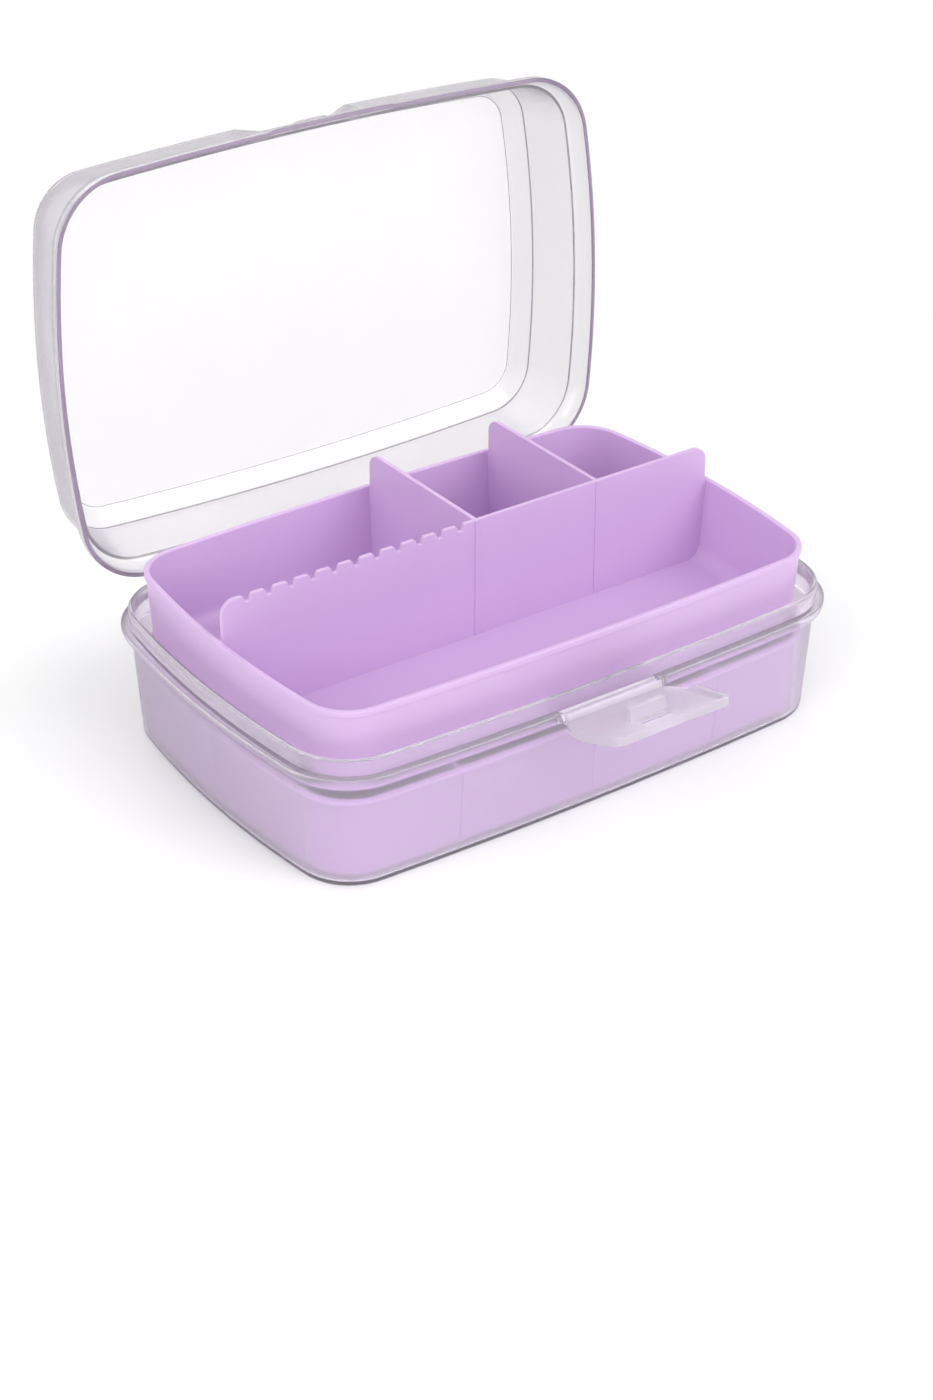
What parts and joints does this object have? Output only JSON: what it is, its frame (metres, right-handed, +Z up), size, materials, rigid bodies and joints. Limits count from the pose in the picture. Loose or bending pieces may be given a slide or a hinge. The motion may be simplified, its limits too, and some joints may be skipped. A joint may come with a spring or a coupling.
{
  "type": "compartment organizer box",
  "caption": "Clear box with rounded, gently bowed sides, a hinged lid and front latch, holding a divided insert below a lift-out tray with a notched thread comb.",
  "frame": {"origin": "middle of the base's flat underside, on the surface the box stands on", "axes": "+X along the box to the right seen from the latch, +Y from the latch to the hinge, +Z up"},
  "size_m": [0.2146, 0.2183, 0.1878],
  "materials": {
    "clear_plastic": "clear gloss",
    "milky_plastic": "translucent satin",
    "lilac_plastic": "opaque soft gloss"
  },
  "bodies": {
    "base": {"base_shell": "clear_plastic", "lower_insert": "lilac_plastic"},
    "tray": {"upper_tray": "lilac_plastic"},
    "lid": {"lid": "clear_plastic"},
    "latch": {"latch": "milky_plastic"}
  },
  "joints": [
    {"name": "lid_hinge", "type": "hinge", "parent": "base", "child": "lid", "pos_m": [0, 0.07305, 0.043], "axis": [-1, 0, 0], "range_deg": [-93, 0]},
    {"name": "latch_pivot", "type": "hinge", "parent": "base", "child": "latch", "pos_m": [0, -0.07235, 0.0414], "axis": [1, 0, 0], "range_deg": [-82, 0]},
    {"name": "tray_lift", "type": "slide", "parent": "base", "child": "tray", "axis": [0, 0, 1], "range_m": [0, 0.08]}
  ]
}
